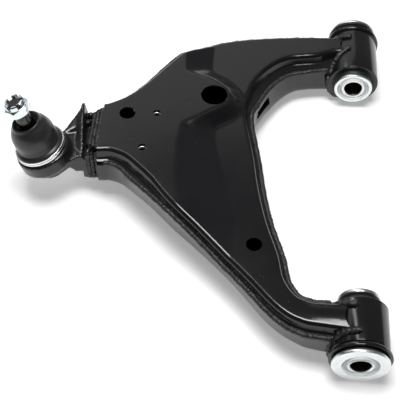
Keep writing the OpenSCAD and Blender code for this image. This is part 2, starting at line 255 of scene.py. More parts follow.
def ramp(tree, value, start, end, low_at=0.0, high_at=1.0):
    made = tree.nodes.new("ShaderNodeValToRGB")
    made.color_ramp.elements[0].position = low_at
    made.color_ramp.elements[1].position = high_at
    made.color_ramp.elements[0].color = (*start, 1.0) if len(start) == 3 else start
    made.color_ramp.elements[1].color = (*end, 1.0) if len(end) == 3 else end
    tree.links.new(value, made.inputs["Fac"])
    return made.outputs["Color"]


def spread(tree, value, low_value, high_value, from_low=0.3, from_high=0.7):
    made = add_node(tree, "ShaderNodeMapRange")
    for label, number in (("From Min", from_low), ("From Max", from_high), ("To Min", low_value),
                          ("To Max", high_value)):
        made.inputs[label].default_value = number
    tree.links.new(value, made.inputs["Value"])
    return made.outputs["Result"]


def mix_colour(tree, mask, first, second):
    made = add_node(tree, "ShaderNodeMix", data_type="RGBA")
    tree.links.new(mask, made.inputs["Factor"])
    for label, value in ((6, first), (7, second)):
        if hasattr(value, "is_linked"):
            tree.links.new(value, made.inputs[label])
        else:
            made.inputs[label].default_value = (*value, 1.0)
    return made.outputs[2]


def bump(tree, shader, height, strength, depth):
    made = add_node(tree, "ShaderNodeBump", Strength=strength, Distance=depth)
    tree.links.new(height, made.inputs["Height"])
    tree.links.new(made.outputs["Normal"], shader.inputs["Normal"])


# %% Black dip paint on pressed steel
def dip_paint(name, dark, light, gloss_low, gloss_high, grains, ripple_scale, strength):
    material, tree, shader = start_material(name, IOR=1.52)
    relief = place_group(tree, peel, Ripple_Scale=ripple_scale, Wave_Share=0.6)
    specks = place_group(tree, dust, Grain_Scale=300.0, Grain_Size=0.1, Share=grains)
    paint = ramp(tree, relief.outputs["Shade"], dark, light, 0.3, 0.7)
    tree.links.new(mix_colour(tree, specks.outputs["Grains"], paint, (0.12, 0.12, 0.12)),
                   shader.inputs["Base Color"])
    tree.links.new(spread(tree, relief.outputs["Shade"], gloss_low, gloss_high), shader.inputs["Roughness"])
    bump(tree, shader, relief.outputs["Height"], strength, 0.00012)
    return material


paint_top = dip_paint("black_dip_paint", (0.0055, 0.0055, 0.0063), (0.0095, 0.0095, 0.0105), 0.14, 0.2,
                      0.04, 1100.0, 0.09)
paint_cast = dip_paint("black_paint_on_forging", (0.006, 0.006, 0.0065), (0.011, 0.011, 0.0115), 0.15, 0.24,
                       0.07, 620.0, 0.28)
paint_tube = dip_paint("black_paint_on_tube", (0.0055, 0.0055, 0.006), (0.009, 0.009, 0.01), 0.12, 0.18,
                       0.04, 1300.0, 0.07)

# %% The same paint over a rough weld, with painted glints mixed into its colour
paint_weld, tree, shader = start_material("black_paint_on_weld", IOR=1.52)
rough_skin = place_group(tree, skin, Lump_Scale=520.0)
painted_glint_spots = rough_skin.outputs["Painted Glint Spots"]
# Where the spot mask is high, pale grey replaces the black paint: painted glints, not a colour the weld has.
weld_colour_with_painted_glints = mix_colour(tree, spread(tree, painted_glint_spots, 0.0, 1.0, 0.0, 1.0), (0.009, 0.009, 0.0095),
                         (0.26, 0.26, 0.25))
tree.links.new(weld_colour_with_painted_glints, shader.inputs["Base Color"])
tree.links.new(spread(tree, rough_skin.outputs["Height"], 0.2, 0.42), shader.inputs["Roughness"])
bump(tree, shader, rough_skin.outputs["Height"], 0.9, 0.0006)

# %% Zinc plate, blued zinc and plain steel
def plated(name, dark, light, gloss_low, gloss_high, clouds_scale, strength):
    material, tree, shader = start_material(name, Metallic=1.0)
    clouds = place_group(tree, bloom, Cloud_Scale=clouds_scale)
    tree.links.new(ramp(tree, clouds.outputs["Cloud"], dark, light, 0.3, 0.7), shader.inputs["Base Color"])
    tree.links.new(spread(tree, clouds.outputs["Cloud"], gloss_high, gloss_low), shader.inputs["Roughness"])
    bump(tree, shader, clouds.outputs["Grain"], strength, 0.00006)
    return material


zinc = plated("zinc_plate", (0.72, 0.75, 0.75), (0.84, 0.86, 0.86), 0.24, 0.38, 130.0, 0.3)
zinc_blue = plated("blued_zinc_plate", (0.66, 0.74, 0.78), (0.86, 0.91, 0.93), 0.16, 0.28, 240.0, 0.25)
stud_steel = plated("oiled_stud_steel", (0.035, 0.034, 0.032), (0.1, 0.097, 0.094), 0.12, 0.24, 300.0, 0.3)
wire_steel = plated("bright_spring_wire", (0.66, 0.67, 0.66), (0.86, 0.87, 0.86), 0.16, 0.28, 400.0, 0.2)
# The bore steel is much darker than the zinc: painted shade for the inside of the deep bush bores.
bore_painted_shade_steel = plated("bore_metal_painted_shade", (0.13, 0.115, 0.1), (0.26, 0.23, 0.2), 0.25, 0.45, 200.0, 0.5)

# %% Rubber and the joint's plastic seat
def soft_finish(name, dark, light, gloss_low, gloss_high, ripple_scale, strength, depth):
    material, tree, shader = start_material(name, IOR=1.5)
    relief = place_group(tree, peel, Ripple_Scale=ripple_scale, Wave_Share=1.0)
    bloomed = place_group(tree, dust, Grain_Scale=700.0, Grain_Size=0.14, Share=0.05)
    body_colour = ramp(tree, relief.outputs["Shade"], dark, light, 0.35, 0.65)
    pale = tuple(min(1.0, 3.0 * v) for v in light)
    tree.links.new(mix_colour(tree, bloomed.outputs["Grains"], body_colour, pale),
                   shader.inputs["Base Color"])
    tree.links.new(spread(tree, relief.outputs["Shade"], gloss_low, gloss_high), shader.inputs["Roughness"])
    bump(tree, shader, relief.outputs["Height"], strength, depth)
    return material


boot_rubber = soft_finish("boot_rubber", (0.016, 0.016, 0.016), (0.026, 0.026, 0.026), 0.27, 0.36, 1500.0,
                          0.16, 0.0001)
bush_rubber = soft_finish("bush_rubber", (0.01, 0.01, 0.01), (0.018, 0.018, 0.017), 0.45, 0.62, 900.0, 0.35,
                          0.0002)
seat_plastic = soft_finish("seat_acetal", (0.62, 0.6, 0.53), (0.72, 0.7, 0.63), 0.3, 0.4, 800.0, 0.1, 0.0001)
print("materials:", sorted(m.name for m in bpy.data.materials))

# %% [markdown]
# ## The outline of the arm
# The pressings are drawn from one closed plan line, the edge of the flat top face. Each row of
# the table holds a point on it, how far out the seam flange ends, how far down it lies, and how
# far out the foot of the lower pressing stands. A smooth line is led through the rows and cut
# into even steps, so every number changes gently along the edge.

# %% The table of the edge, anticlockwise from the ball joint end
edge_rows = [
    (-290, 171, 8, 12, 10), (-262, 171, 8, 12, 10), (-248, 172, 8, 12, 10), (-232, 166, 8.2, 12, 9),
    (-218, 154, 9.6, 12, 8), (-204, 140, 9, 11.5, 6), (-188, 120, 6, 10, 3), (-176, 107, 5.3, 9.5, 2.5),
    (-152, 86, 5.3, 9.5, 3), (-121, 57, 5.3, 9.5, 4), (-100, 35, 5.4, 9.5, 5.5), (-84, 17, 5.6, 9.5, 6.5),
    (-71, 5, 6.2, 9.5, 6.5), (-57, -3, 7.2, 9.5, 7), (-40, -7, 7.6, 9.5, 9), (10, -8, 7.6, 9.5, 12),
    (10, 12, 7.5, 9, 10), (-38, 12, 7.5, 9, 9), (-50, 14, 7.5, 9, 9), (-63, 21, 7.3, 9, 9),
    (-74, 39, 7.3, 9, 9), (-80, 66, 7.3, 9, 9), (-92, 103, 7.3, 9, 9), (-101, 143, 7.3, 9, 9),
    (-107, 181, 7.3, 9, 9), (-112, 206, 7.5, 9, 9), (-117, 231, 8, 9, 10), (-119, 250, 9.5, 9.5, 14),
    (-116, 268, 12.5, 10, 19), (-110, 288, 14.5, 10, 23), (-99, 306, 14.5, 10, 23), (-85, 321, 15, 10, 22),
    (-71, 329, 15.5, 10, 20), (-58, 332, 15, 10, 18), (-42, 335, 14, 10, 18), (-20, 343, 19, 10, 25),
    (10, 344, 20, 10, 26), (10, 359, 7.5, 9, 8), (-40, 360, 7.5, 9, 8), (-83, 356, 7.5, 9, 8),
    (-121, 350, 7.5, 9, 8), (-150, 341, 7.5, 9, 8), (-168, 328, 7.5, 9.5, 8), (-183, 314, 7.5, 10, 8),
    (-200, 291, 7.5, 11, 8), (-213, 272, 7.5, 12, 8), (-226, 255, 7.5, 12, 8), (-237, 244, 7.5, 12, 8),
    (-250, 235, 7.5, 12, 9), (-262, 230, 7.5, 12, 10), (-290, 230, 7.5, 12, 10)]


def smooth_rows(rows, step):
    """A closed Catmull-Rom line through rows of numbers, in even steps of plan length."""
    table = np.array(rows, float)
    before, after, second = np.roll(table, 1, 0), np.roll(table, -1, 0), np.roll(table, -2, 0)
    t = np.linspace(0, 1, 16, endpoint=False)[:, None, None]
    curve = 0.5 * (2 * table + (after - before) * t + (2 * before - 5 * table + 4 * after - second) * t ** 2
                   + (3 * table - before - 3 * after + second) * t ** 3)
    curve = curve.transpose(1, 0, 2).reshape(-1, table.shape[1])
    closed = np.vstack([curve, curve[:1]])
    length = np.concatenate([[0], np.cumsum(np.hypot(*np.diff(closed[:, :2], axis=0).T))])
    stations = np.linspace(0, length[-1], int(length[-1] / step), endpoint=False)
    return np.stack([np.interp(stations, length, closed[:, k]) for k in range(table.shape[1])], 1)


def outward_normals(line):
    along = np.roll(line[:, :2], -2, 0) - np.roll(line[:, :2], 2, 0)
    along /= np.hypot(along[:, 0], along[:, 1])[:, None]
    return np.stack([along[:, 1], -along[:, 0]], 1)


edge = smooth_rows(edge_rows, 2.4)
edge_out = outward_normals(edge)
print("edge line:", len(edge), "stations")

# %% [markdown]
# ## The height of the top face
# The top face is flat on the limbs and 13 mm higher on the pad. Two plan lines, the rim above and
# the foot below, bound the sloping faces between them. A height map on a 1 mm grid is filled from
# them and blurred by about a sheet's thickness, which gives every crease the soft radius that a
# press tool leaves.

# %% Rim and foot of the raised pad
pad_rim = [(-340, 60), (-174, 60), (-175, 95), (-176, 115), (-180, 147), (-181.5, 181), (-179.5, 205),
           (-178, 211), (-174, 213.5), (-168, 217), (-150, 230), (-136, 239.5), (-131, 245), (-131.5, 254),
           (-139, 265.5),
           (-157, 278), (-174, 283), (-181, 286), (-183, 314), (-186, 370), (-340, 370)]
pad_foot = [(-340, 60), (-119, 20), (-120, 45), (-121, 63), (-122, 101), (-127, 132), (-135, 161),
            (-144.5, 196),
            (-147.5, 212), (-147, 217), (-143, 220.5), (-127, 232.5), (-119.5, 244), (-118.5, 258),
            (-123, 273),
            (-137, 289), (-150, 296), (-155, 301), (-155, 325), (-153, 370), (-340, 370)]
Z_LIMB, Z_PAD = 24.0, 37.0


def inside(points, line):
    a, b = np.array(line, float), np.roll(np.array(line, float), -1, 0)
    x, y = points[:, :1], points[:, 1:2]
    crosses = ((a[:, 1] > y) != (b[:, 1] > y)) & (
        x < (b[:, 0] - a[:, 0]) * (y - a[:, 1]) / (b[:, 1] - a[:, 1] + 1e-9) + a[:, 0])
    return crosses.sum(1) % 2 == 1


def distance(points, line):
    a, b = np.array(line, float), np.roll(np.array(line, float), -1, 0)
    run = b - a
    best = np.full(len(points), 1e9)
    for start, step in zip(a, run):
        t = np.clip(((points - start) @ step) / (step @ step + 1e-9), 0, 1)
        best = np.minimum(best, np.hypot(*(points - start - t[:, None] * step).T))
    return best


# %% Fill and blur the height map
grid_x = np.arange(-320, 31, 1.0)
grid_y = np.arange(-40, 391, 1.0)
grid = np.stack(np.meshgrid(grid_x, grid_y, indexing="ij"), -1).reshape(-1, 2)
to_rim, to_foot = distance(grid, pad_rim), distance(grid, pad_foot)
rise = np.where(inside(grid, pad_rim), 1.0, np.where(inside(grid, pad_foot),
                                                     to_foot / (to_foot + to_rim + 1e-9), 0.0))
height = (Z_LIMB + (Z_PAD - Z_LIMB) * rise).reshape(len(grid_x), len(grid_y))
spread_mm = np.arange(-6, 7)
kernel = np.exp(-spread_mm ** 2 / (2 * 1.05 ** 2))
kernel /= kernel.sum()


def blurred(row):
    return np.convolve(np.pad(row, 6, mode="edge"), kernel, mode="valid")


for axis in (0, 1):
    height = np.apply_along_axis(blurred, axis, height)


def top_height(points):
    """Height of the top face; the last 45 mm of the front limb is arched across."""
    fx = np.clip(points[:, 0] - grid_x[0], 0, len(grid_x) - 1.001)
    fy = np.clip(points[:, 1] - grid_y[0], 0, len(grid_y) - 1.001)
    i, j = fx.astype(int), fy.astype(int)
    u, v = fx - i, fy - j
    z = (height[i, j] * (1 - u) * (1 - v) + height[i + 1, j] * u * (1 - v)
         + height[i, j + 1] * (1 - u) * v + height[i + 1, j + 1] * u * v)
    near = np.clip((points[:, 0] + 64) / 26, 0, 1)
    across = np.clip(1 - ((points[:, 1] - 2) / 11.5) ** 2, -0.1, 1)
    arch = 1.5 * near ** 2 * (3 - 2 * near) * across * (points[:, 1] < 40)
    return z + arch


def under_height(points):
    """The sloping underside of the lower pressing."""
    return -14.3 - 0.0383 * points[:, 0] - 0.01346 * points[:, 1]


pad_z, limb_z = top_height(np.array([[-200.0, 200.0], [-90.0, 60.0]]))
print("pad height", pad_z, "limb height", limb_z)

# %% [markdown]
# ## Filling a sheet and drawing its skirt
# A pressed sheet is made the way a press makes it: a face is filled inside the rim, and then the
# rim is drawn outwards and down, ring by ring. The fill is a constrained Delaunay triangulation
# of evenly spread points, which keeps the shading calm on a gently waved face. Each ring of the
# skirt comes from the extrude operator, and its new vertices are moved to their places.

# %% Fill a face with holes
def fill_sheet(bm, rim, holes, pitch, height_of):
    points = [tuple(p) for p in rim]
    loops = [list(range(len(rim)))]
    for (x, y), radius in holes:
        count = max(24, int(radius * 2 * math.pi / 1.6))
        for extra in (0.0, 1.4):
            ring = [(x + (radius + extra) * math.cos(2 * math.pi * k / count),
                     y + (radius + extra) * math.sin(2 * math.pi * k / count)) for k in range(count)]
            loops.append(list(range(len(points), len(points) + count)))
            points += ring
    xs = np.arange(rim[:, 0].min(), rim[:, 0].max(), pitch)
    ys = np.arange(rim[:, 1].min(), rim[:, 1].max(), pitch * 0.866)
    mesh_x, mesh_y = np.meshgrid(xs, ys)
    mesh_x = mesh_x + (np.arange(len(ys)) % 2)[:, None] * pitch / 2
    spots = np.stack([mesh_x.ravel(), mesh_y.ravel()], 1)
    keep = inside(spots, rim) & (distance(spots, rim) > pitch * 0.6)
    for (x, y), radius in holes:
        keep &= np.hypot(spots[:, 0] - x, spots[:, 1] - y) > radius + 1.4 + pitch * 0.5
    points += [tuple(p) for p in spots[keep]]
    borders = [(a, b) for loop in loops for a, b in zip(loop, loop[1:] + loop[:1])]
    flat, _, faces, _, _, _ = geometry.delaunay_2d_cdt([Vector(p) for p in points], borders, [], 0, 1e-6)
    plan = np.array([(p.x, p.y) for p in flat])
    middles = np.array([plan[list(face)].mean(0) for face in faces])
    wanted = inside(middles, rim)
    for (x, y), radius in holes:
        wanted &= np.hypot(middles[:, 0] - x, middles[:, 1] - y) > radius * 0.98
    z = height_of(plan)
    verts = [bm.verts.new((p[0], p[1], h)) for p, h in zip(plan, z)]
    for face, good in zip(faces, wanted):
        if good:
            bm.faces.new([verts[k] for k in face])
    loose = [v for v in bm.verts if not v.link_faces]
    rim_verts = verts[:len(rim)]
    bmesh.ops.delete(bm, geom=loose, context="VERTS")
    return rim_verts


# %% Draw the next ring of a skirt
def draw_ring(bm, rim, places):
    edges = [bm.edges.get((a, b)) for a, b in zip(rim, rim[1:] + rim[:1])]
    made = bmesh.ops.extrude_edge_only(bm, edges=edges)["geom"]
    new = {item for item in made if isinstance(item, bmesh.types.BMVert)}
    ring = []
    for vert, place in zip(rim, places):
        partner = next(e.other_vert(vert) for e in vert.link_edges if e.other_vert(vert) in new)
        partner.co = place
        ring.append(partner)
    return ring


def clear_of_tubes(bm, end_x, tube_spans):
    """Cuts a sheet off at both ends, and clears it out of the bush tubes between two values of Y."""
    for place, side in (((end_x, 0, 0), (1, 0, 0)), ((-261, 0, 0), (-1, 0, 0))):
        bmesh.ops.bisect_plane(bm, geom=bm.verts[:] + bm.edges[:] + bm.faces[:], plane_co=place,
                               plane_no=side, clear_outer=True)
    for y0, y1 in tube_spans:
        hidden = [f for f in bm.faces if y0 < f.calc_center_median().y < y1
                  and math.hypot(f.calc_center_median().x, f.calc_center_median().z) < TUBE - 1.4]
        bmesh.ops.delete(bm, geom=hidden, context="FACES")


def face_sheet(bm, up):
    bmesh.ops.recalc_face_normals(bm, faces=bm.faces)
    biggest = max(bm.faces, key=lambda f: abs(f.normal.z) * f.calc_area())
    if (biggest.normal.z > 0) != up:
        bmesh.ops.reverse_faces(bm, faces=bm.faces)


def thicken(piece, thickness, soft_edge):
    wall = piece.modifiers.new("sheet", "SOLIDIFY")
    wall.thickness = thickness * MM
    wall.offset = -1
    round_off = piece.modifiers.new("soft_edges", "BEVEL")
    round_off.width = soft_edge * MM
    round_off.segments = 2
    round_off.limit_method = "ANGLE"
    round_off.angle_limit = math.radians(55)
    even = piece.modifiers.new("even_shading", "WEIGHTED_NORMAL")
    even.keep_sharp = False


# %% [markdown]
# ## The upper pressing
# The top sheet starts 1.5 mm inside the plan line. Its skirt rolls over a 4.5 mm radius into a
# steep wall, and a tight inner radius turns the wall out again into the seam flange.

# %% Fill the top and draw its skirt
flat_line = edge[:, :2]
edge_z = top_height(flat_line - edge_out * 1.5)
top_holes = [((-149, 252), 14.0), ((-236, 220), 8.25), ((-206, 222), 4.2), ((-216, 175), 4.2),
             ((-100, 74), 7.75)]
bm = bmesh.new()
rim = fill_sheet(bm, flat_line - edge_out * 1.5, top_holes, 2.7, top_height)
out_end, drop_end = edge[:, 2], edge[:, 3]
profile = []
for angle in (14, 28, 42, 56, 68, 78):
    a = math.radians(angle)
    out, drop = -1.5 + 4.5 * math.sin(a), 4.5 * (1 - math.cos(a))
    profile.append((np.full(len(edge), out), np.full(len(edge), drop)))
wall_out = 3.1 + np.clip(out_end - 5.3, 0, 4) * 0.35
wall_drop = drop_end - 2.6
for t in (0.5, 1.0):
    profile.append((2.9 + (wall_out - 2.9) * t, 3.57 + (wall_drop - 3.57) * t))
knee = (wall_out + 0.5, drop_end - 0.9)
ledge = (wall_out + 3.0, drop_end - 0.9 + 0.9 * 3.0 / (out_end - wall_out + 0.1))
for t in (0.25, 0.5, 0.75, 1.0):
    a, b, c = (1 - t) ** 2, 2 * t * (1 - t), t ** 2
    out = a * wall_out + b * knee[0] + c * np.minimum(ledge[0], out_end - 0.6)
    profile.append((out, a * wall_drop + b * knee[1] + c * ledge[1]))
profile.append((out_end, drop_end))
for out, drop in profile:
    places = np.column_stack([flat_line + edge_out * out[:, None], edge_z - drop])
    rim = draw_ring(bm, rim, places)
clear_of_tubes(bm, -11.5, ((-24, 25), (315, 373)))
for vert in bm.verts:
    for middle_y, half_wide in ((2.0, 12.0), (351.5, 11.0)):
        across = max(0.0, 1 - ((vert.co.y - middle_y) / half_wide) ** 2)
        along = min(1.0, max(0.0, (vert.co.x + 32) / 20))
        if vert.co.z > 18:
            vert.co.x -= 4.6 * across * along * along * (3 - 2 * along)
face_sheet(bm, True)
upper = finish_piece(bm, "upper_pressing", paint_top, "arm", ["upper_shell"], outward=False)
thicken(upper, SHEET, 0.45)

# %% [markdown]
# ## The lower pressing
# This one is a tray. Its bottom follows the sloping underside, a large radius leads up into the
# wall, and the wall ends under the seam flange. Rows of the table move its foot in and out, which
# is why it is narrower than the flange along the front limb and wider in the rear corner.

# %% Fill the bottom and draw the wall up to the seam
foot_out = edge[:, 4]
rim_out = out_end + 2.7
rim_z = edge_z - drop_end - 3.3
corner = flat_line + edge_out * foot_out[:, None]
corner_z = under_height(corner)
lift = rim_z - corner_z
lean_out = rim_out - foot_out
bend = np.minimum(7.5, lift * 0.45)
bm = bmesh.new()
floor_line = flat_line + edge_out * (foot_out - bend)[:, None]
rim = fill_sheet(bm, floor_line, [((-150, 190), 10.0), ((-88, 45), 6.0), ((-70, 345), 6.0)], 5.0,
                 under_height)
steps = []
slope = np.hypot(lift, lean_out)
for t in (0.2, 0.4, 0.6, 0.8, 1.0):
    a, b, c = (1 - t) ** 2, 2 * t * (1 - t), t ** 2
    out = a * (foot_out - bend) + b * foot_out + c * (foot_out + lean_out / slope * bend)
    z = (a + b) * corner_z + c * (corner_z + lift / slope * bend)
    steps.append((out, z))
for t in (0.25, 0.5, 0.75, 1.0):
    out = foot_out + lean_out / slope * bend
    z = corner_z + lift / slope * bend
    steps.append((out + (rim_out - out) * t, z + (rim_z - z) * t))
for out, z in steps:
    rim = draw_ring(bm, rim, np.column_stack([flat_line + edge_out * out[:, None], z]))
clear_of_tubes(bm, -8.0, ((-25, 27), (313, 374)))
SLOT_MIDDLE, SLOT_TURN, SLOT_HALF = Vector((-98, 270, 0)), 62, (15, 12)
to_slot = Matrix.Rotation(math.radians(-SLOT_TURN), 4, "Z") @ Matrix.Translation(-SLOT_MIDDLE)
slot_faces = []
for face in bm.faces:
    spot = to_slot @ face.calc_center_median()
    if abs(spot.x) < SLOT_HALF[0] and abs(spot.y) < SLOT_HALF[1] and -3.5 < spot.z < 4.5:
        slot_faces.append(face)
print("slot faces:", len(slot_faces))
bmesh.ops.delete(bm, geom=slot_faces, context="FACES")
face_sheet(bm, False)
lower = finish_piece(bm, "lower_pressing", paint_top, "arm", ["lower_shell"], outward=False)
thicken(lower, SHEET, 0.45)

# %% [markdown]
# ## Weld beads
# A bead is a curve with a round bevel. The radius of its points rises and falls every few
# millimetres, as a weld pool freezes in ripples, and seeded noise makes no two ripples alike. The
# curve is turned into a mesh.

# %% Lay a bead along a line
def lay_bead(name, runs, radius, body, stands_for, ripple=3.4, rough=0.5, drops=24):
    curve = bpy.data.curves.new(name, "CURVE")
    curve.dimensions = "3D"
    curve.bevel_depth = 1.0
    curve.bevel_resolution = 3
    curve.use_fill_caps = True
    for run in runs:
        line = np.array(run, float)
        length = np.concatenate([[0], np.cumsum(np.linalg.norm(np.diff(line, axis=0), axis=1))])
        stations = np.arange(0, length[-1], 0.85)
        line = np.stack([np.interp(stations, length, line[:, k]) for k in range(3)], 1)
        spline = curve.splines.new("POLY")
        spline.points.add(len(line) - 1)
        for k, place in enumerate(line):
            phase = (stations[k] % ripple) / ripple
            ends = min(1.0, 0.35 + min(stations[k], length[-1] - stations[k]) / 3.0)
            size = radius * ends * (0.9 + 0.2 * phase ** 0.6 + 0.06 * math.sin(stations[k] * 0.37))
            jitter = [random.uniform(-rough, rough) * 0.25 for _ in range(3)]
            spline.points[k].co = (*(place + jitter), 1.0)
            spline.points[k].radius = size * random.uniform(0.95, 1.05)
    holder = bpy.data.objects.new(name + "_curve", curve)
    bpy.context.scene.collection.objects.link(holder)
    mesh = bpy.data.meshes.new_from_object(holder.evaluated_get(bpy.context.evaluated_depsgraph_get()))
    bpy.data.objects.remove(holder)
    bm = bmesh.new()
    bm.from_mesh(mesh)
    bpy.data.meshes.remove(mesh)
    for _ in range(drops):
        place = Vector(random.choice(random.choice(runs)))
        size = random.uniform(0.3, 0.75)
        shift = Vector([random.uniform(-1, 1) * radius * 0.6 for _ in range(3)])
        middle = Matrix.Translation(place + shift + Vector((0, 0, radius * 0.45)))
        bmesh.ops.create_icosphere(bm, subdivisions=2, radius=size, matrix=middle)
    return finish_piece(bm, name, paint_weld, body, stands_for)


# %% The long seam, in three runs between the tubes and the bracket
def clear_runs(points, left_x, gap):
    good = (points[:, 0] > left_x) & (points[:, 0] < -13)
    for y0, y1 in ((-30, 32), (305, 376)):
        near = (points[:, 1] > y0) & (points[:, 1] < y1)
        good &= ~(near & (np.hypot(points[:, 0], points[:, 2]) < TUBE + gap))
    start = int(np.argmin(good))
    order = np.roll(np.arange(len(points)), -start)
    runs, run = [], []
    for k in order:
        if good[k]:
            run.append(points[k])
        elif run:
            runs.append(run)
            run = []
    if run:
        runs.append(run)
    return [r for r in runs if len(r) > 12]


seam = np.column_stack([flat_line + edge_out * (out_end + 0.9)[:, None], edge_z - drop_end - 1.9])
seam_runs = clear_runs(seam, -257, 1.0)
print("seam runs:", [len(run) for run in seam_runs])
for run, label in zip(seam_runs, ("front", "inner", "back")):
    lay_bead("seam_bead_" + label, [run], 2.75, "arm", ["seam_weld_" + label])

# %% [markdown]
# ## Pieces turned on a lathe
# Bushes, tubes, washers and the ball joint are round, so each is a half section spun about its
# axis. A section is a list of corners, each with its own radius, and a corner is rounded before
# the spin. Where a section touches the axis, the poles are merged.

# %% Round a section's corners, and spin it
def rounded_section(corners, steps=4):
    line = []
    count = len(corners)
    for k, (r, z, fillet) in enumerate(corners):
        here = Vector((r, z))
        before = Vector(corners[k - 1][:2]) - here
        after = Vector(corners[(k + 1) % count][:2]) - here
        reach = min(fillet, before.length * 0.48, after.length * 0.48)
        if reach < 0.02:
            line.append(here)
            continue
        a, b = here + before.normalized() * reach, here + after.normalized() * reach
        for s in range(steps + 1):
            t = s / steps
            line.append(a * (1 - t) ** 2 + here * 2 * t * (1 - t) + b * t ** 2)
    return line


def spin_section(bm, corners, steps=96):
    line = rounded_section(corners)
    ring = [bm.verts.new((p.x, 0, p.y)) for p in line]
    sides = [(a, b) for a, b in zip(ring, ring[1:] + ring[:1]) if max(a.co.x, b.co.x) > 1e-6]
    edges = [bm.edges.new(side) for side in sides]
    bmesh.ops.spin(bm, geom=ring + edges, cent=(0, 0, 0), axis=(0, 0, 1), angle=2 * math.pi,
                   steps=steps, use_merge=True)
    bmesh.ops.remove_doubles(bm, verts=bm.verts, dist=0.002)
    bmesh.ops.dissolve_degenerate(bm, edges=bm.edges, dist=0.001)


def turned(name, sections, place, coat, body, stands_for=(), steps=96, extra=None):
    bm = bmesh.new()
    for corners in sections:
        part = bmesh.new()
        spin_section(part, corners, steps)
        held = bpy.data.meshes.new("held")
        part.to_mesh(held)
        part.free()
        bm.from_mesh(held)
        bpy.data.meshes.remove(held)
    if extra:
        extra(bm)
    return finish_piece(bm, name, coat, body, stands_for, place=place)


# %% [markdown]
# ## The two bushes
# From outside in: the tube welded into the limb, the pressed-in outer sleeve whose flange shows
# at one end, the rubber, and the zinc inner sleeve with a wide washer at one end and its own
# small head at the other. Both zinc faces carry a band of fine radial teeth that bite into the
# vehicle's bracket. One tooth is made and copied round by a spin that duplicates.

# %% Teeth for a clamping face
def teeth(at_z, r0, r1, count):
    def add(bm):
        made = bmesh.ops.create_cube(bm, size=1.0)
        bmesh.ops.scale(bm, vec=(r1 - r0, 0.42, 0.34), verts=made["verts"])
        bmesh.ops.translate(bm, vec=((r0 + r1) / 2, 0, at_z), verts=made["verts"])
        whole = list({f for v in made["verts"] for f in v.link_faces})
        parts = made["verts"] + list({e for v in made["verts"] for e in v.link_edges}) + whole
        bmesh.ops.spin(bm, geom=parts, cent=(0, 0, 0), axis=(0, 0, 1),
                       angle=2 * math.pi * (count - 1) / count,
                       steps=count - 1, use_duplicate=True)
    return add


# %% Build both bushes from one set of sections
BORE = 9.5
for end, half, place, tube_from, tube_to, shift in (
        ("front", front_half, to_front, -22.0, 23.0, 0.0), ("rear", rear_half, to_rear, -33.5, 23.5, -6.0)):
    flange = half - 6.1 + shift
    tube_len = tube_to - tube_from
    turned(end + "_tube",
           [[(23.8, tube_from, 0.6), (TUBE, tube_from, 0.8), (TUBE, tube_to, 0.8), (23.8, tube_to, 0.6)]],
           place, paint_tube, "arm", [end + "_bush_tube"], steps=144)
    turned(end + "_outer_sleeve_shell",
           [[(22.2, flange - 6 - tube_len, 0.3), (23.75, flange - 6 - tube_len, 0.3),
             (23.75, flange - 5.6, 0),
             (26.6, flange - 5.6, 1.2), (29.0, flange - 3.6, 1.2), (29.0, flange, 0.9), (22.2, flange, 0.4)]],
           place, paint_tube, "arm", [end + "_outer_sleeve"], steps=144)
    turned(end + "_rubber_body",
           [[(11.6, 4.45 - half, 0.5), (17.6, 4.45 - half, 1.0), (19.2, 7.2 - half, 1.6),
             (20.6, flange - 5 - tube_len, 2.0),
             (22.1, flange - 5.6 - tube_len, 0.4), (22.1, half - 5.6, 0.4), (25.6, half - 5.4, 1.0),
             (25.4, half - 3.75, 0.8), (11.6, half - 3.75, 0.3)]],
           place, bush_rubber, "arm", [end + "_rubber"], steps=144)
    turned(end + "_inner_sleeve_core",
           [[(BORE + 1.1, -half, 0.25), (20.5, -half, 1.1), (20.5, -half + 4, 1.3), (11.55, -half + 4, 0.6),
             (11.55, half, 0.35), (BORE + 1.1, half, 0.25), (BORE, half - 1.0, 0.3),
             (BORE, -half + 1.0, 0.3)]],
           place, zinc, end + "_pivot", [end + "_inner_sleeve"], steps=144,
           extra=teeth(-half - 0.02, 12.2, 17.2, 120))
    core = pieces[end + "_inner_sleeve_core"].data
    # Faces inside the bore take the darker steel: painted shade deep in the bore.
    core.materials.append(bore_painted_shade_steel)
    for face in core.polygons:
        face.material_index = int(math.hypot(face.center.x, face.center.z) < (BORE + 0.4) * MM)
    turned(end + "_washer_plate",
           [[(11.6, half - 3.6, 0.2), (26.5, half - 3.6, 0.9), (26.5, half - 0.35, 1.1),
             (20.4, half - 0.35, 0.3),
             (20.0, half - 0.5, 0.2), (18.6, half - 0.5, 0.2), (18.2, half - 0.35, 0.3),
             (11.6, half - 0.35, 0.3)]],
           place, zinc, end + "_pivot", [end + "_washer"], steps=144,
           extra=teeth(half - 0.33, 12.2, 17.2, 120))

# %% [markdown]
# ## Beads where the limbs meet the tubes
# These beads are heavier and less tidy than the seam. They start on the limb's side wall, run
# down round the tube and end in a rounded crater near its top.

# %% Lay the tube beads
def round_tube(y_of, a0, a1, middle_y, radius=TUBE + 0.4, steps=40):
    run = []
    for k in range(steps + 1):
        t = k / steps
        a = math.radians(a0 + (a1 - a0) * t)
        run.append((radius * math.cos(a), middle_y + y_of(t), radius * math.sin(a)))
    return run


def blend_y(y0, y1, y2):
    return lambda t: y0 * (1 - t) ** 2 + 2 * y1 * t * (1 - t) + y2 * t ** 2


